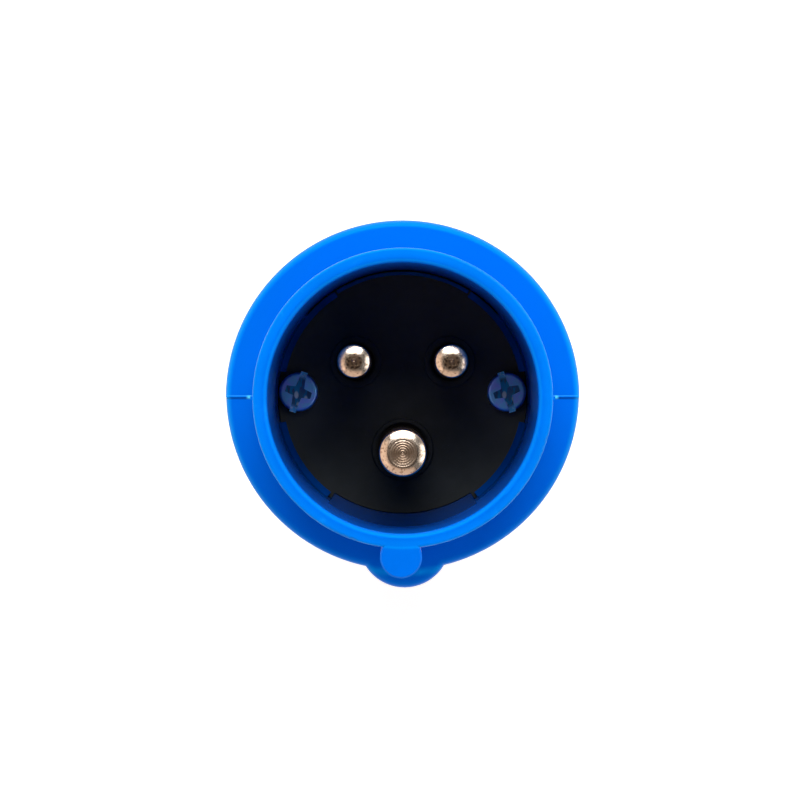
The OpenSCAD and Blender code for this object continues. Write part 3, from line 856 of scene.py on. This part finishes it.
class PLUG_OT_gland_threads(bpy.types.Operator):
    """Add the gland's right-hand thread: a ridge on the neck and one in the nut, between them."""

    bl_idname = "plug.gland_threads"
    bl_label = "Gland threads"

    def execute(self, context):
        sizes = context.scene.plug_sizes
        lead_in, run_out, overlap, clearance = 0.0022, 0.0030, 0.0002, 0.0002
        start = low("handle").z + lead_in
        end = high("gland_nut").z - run_out
        quarter_turns = math.floor((end - start) / sizes.thread_pitch * 4)
        sweep = {"start": start, "turns": quarter_turns / 4, "pitch": sizes.thread_pitch,
                 "steps": sizes.thread_steps}
        neck = helix(
            "neck_thread", root=sizes.thread_root - overlap, crest=sizes.thread_crest,
            phase_angle=0.0, foot=0.00155, top=0.0007, **sweep)
        finish_ridge(neck, "handle")
        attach(neck, HOUSING)
        nut = helix(
            "nut_thread", root=sizes.thread_root + clearance, crest=sizes.thread_crest + 0.0005,
            phase_angle=math.pi, foot=0.0006, top=0.0014, **sweep)
        finish_ridge(nut, "gland_nut")
        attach(nut, NUT)
        return {"FINISHED"}


class PLUG_OT_stage(bpy.types.Operator):
    """Set the floor, the soft lamps, the pale surroundings and the camera above the mouth."""

    bl_idname = "plug.stage"
    bl_label = "Stage"

    def execute(self, context):
        scene = context.scene
        studio = scene.plug_studio
        scene.view_settings.view_transform = "Standard"
        self.floor(studio)
        self.card()
        self.surroundings(scene, studio)
        side = studio.side_power
        for softbox in (
            # name, place, size, power, colour, shape
            ("key_softbox", (0.0, 0.53, 0.82), (0.72, 0.43), studio.key_power, WHITE, "ELLIPSE"),
            ("left_softbox", (-0.59, -0.02, 0.76), (0.80, 0.46), side * 0.38, WARM, "RECTANGLE"),
            ("low_softbox", (-0.10, -0.55, 0.77), (0.98, 0.40), side * 0.29, WARM, "RECTANGLE"),
            ("right_softbox", (0.64, -0.04, 0.73), (0.54, 0.34), side * 0.48, COOL, "RECTANGLE"),
        ):
            self.softbox(scene, *softbox)
        self.camera(scene, studio)
        return {"FINISHED"}

    def floor(self, studio):
        """The pale floor just under the gland nut."""
        deselect_all()
        bpy.ops.mesh.primitive_circle_add(
            vertices=96, radius=FLOOR_RADIUS, fill_type="NGON", location=(0, 0, -FLOOR_GAP))
        floor = named("studio_floor")
        settle(floor)
        floor.data.materials.append(floor_finish(studio.floor_colour))
        # the plug stands on its gland nut, so the floor goes down as the nut is unscrewed
        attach(floor, RING)

    def card(self):
        """A dim round card above the mouth, for the contacts to reflect."""
        deselect_all()
        bpy.ops.mesh.primitive_circle_add(
            vertices=64, radius=CARD_RADIUS, fill_type="NGON", location=(0, 0, CARD_HEIGHT))
        card = named("camera_card")
        settle(card)
        card.data.materials.append(card_finish())
        card.visible_camera = False
        card.visible_shadow = False

    def surroundings(self, scene, studio):
        """White to the camera; elsewhere pale walls under a darker ceiling."""
        world = bpy.data.worlds.new("pale_surroundings")
        world.use_nodes = True
        scene.world = world
        finish = Finish("surroundings", world.node_tree)
        seen = finish.rays("Camera", "Glossy", "Transmission")
        camera = finish.rays("Camera")
        height = finish.axes(finish.node("ShaderNodeTexCoord").outputs["Generated"])[2]
        ceiling = 1 - studio.ceiling_level
        reflected = 1 - height.band(0.40, 0.72) * ceiling
        lit = 1 - height.band(0.30, 0.75) * ceiling
        level = (1 - seen) * lit * studio.world_level + seen * reflected
        level = level * (1 - camera) + camera
        back = finish.node("ShaderNodeBackground", {}, {"Color": WHITE, "Strength": level})
        finish.node("ShaderNodeOutputWorld", {}, {"Surface": back.outputs[0]})

    def softbox(self, scene, name, place, size, power, colour, shape):
        """An area lamp that faces the mouth."""
        lamp = bpy.data.lights.new(name, "AREA")
        lamp.shape = shape
        lamp.size, lamp.size_y = size
        lamp.energy = power
        lamp.color = colour
        holder = bpy.data.objects.new(name, lamp)
        scene.collection.objects.link(holder)
        holder.location = place
        aim = Vector((0, 0, RIM - AIM_DEPTH)) - Vector(place)
        holder.rotation_euler = aim.to_track_quat("-Z", "Y").to_euler()

    def camera(self, scene, studio):
        """The camera above the mouth, a touch toward its top edge and looking back at the axis."""
        camera = bpy.data.cameras.new("camera")
        camera.lens = studio.lens
        camera.sensor_width = 36
        camera.clip_start = 0.01
        holder = bpy.data.objects.new("camera", camera)
        scene.collection.objects.link(holder)
        lean = 0.0030  # how far the camera stands from the axis, toward the top edge
        aside, below = 0.00040, 0.00028  # how far the middle of the view lies off the axis
        holder.location = Vector((-aside, lean - below, RIM + studio.distance))
        holder.rotation_euler = (-math.atan2(lean, studio.distance), 0, 0)
        scene.camera = holder


class PLUG_PT_panel(bpy.types.Panel):
    """The plug's pieces and settings."""

    bl_label = "Pin and Sleeve Plug"
    bl_idname = "PLUG_PT_panel"
    bl_space_type = "VIEW_3D"
    bl_region_type = "UI"
    bl_category = "Plug"

    def draw(self, context):
        layout = self.layout
        for group in GROUPS:
            settings = getattr(context.scene, group)
            box = layout.box()
            for name in settings.__annotations__:
                box.prop(settings, name)
        for operator in OPERATORS:
            layout.operator(operator.bl_idname)


OPERATORS = (
    PLUG_OT_mouldings,
    PLUG_OT_wall_foot,
    PLUG_OT_contacts,
    PLUG_OT_screws,
    PLUG_OT_gland,
    PLUG_OT_gland_threads,
    PLUG_OT_stage,
)
GROUPS = {"plug_sizes": PlugSizes, "plug_colours": PlugColours, "plug_studio": StudioSettings}


def register():
    for group in GROUPS.values():
        bpy.utils.register_class(group)
    for name, group in GROUPS.items():
        setattr(bpy.types.Scene, name, PointerProperty(type=group))
    for operator in OPERATORS:
        bpy.utils.register_class(operator)
    bpy.utils.register_class(PLUG_PT_panel)


def unregister():
    bpy.utils.unregister_class(PLUG_PT_panel)
    for operator in reversed(OPERATORS):
        bpy.utils.unregister_class(operator)
    for name, group in reversed(list(GROUPS.items())):
        delattr(bpy.types.Scene, name)
        bpy.utils.unregister_class(group)


def main():
    """Registers the add-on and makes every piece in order."""
    register()
    for operator in OPERATORS:
        category, name = operator.bl_idname.split(".")
        getattr(getattr(bpy.ops, category), name)()


if __name__ == "__main__":
    main()
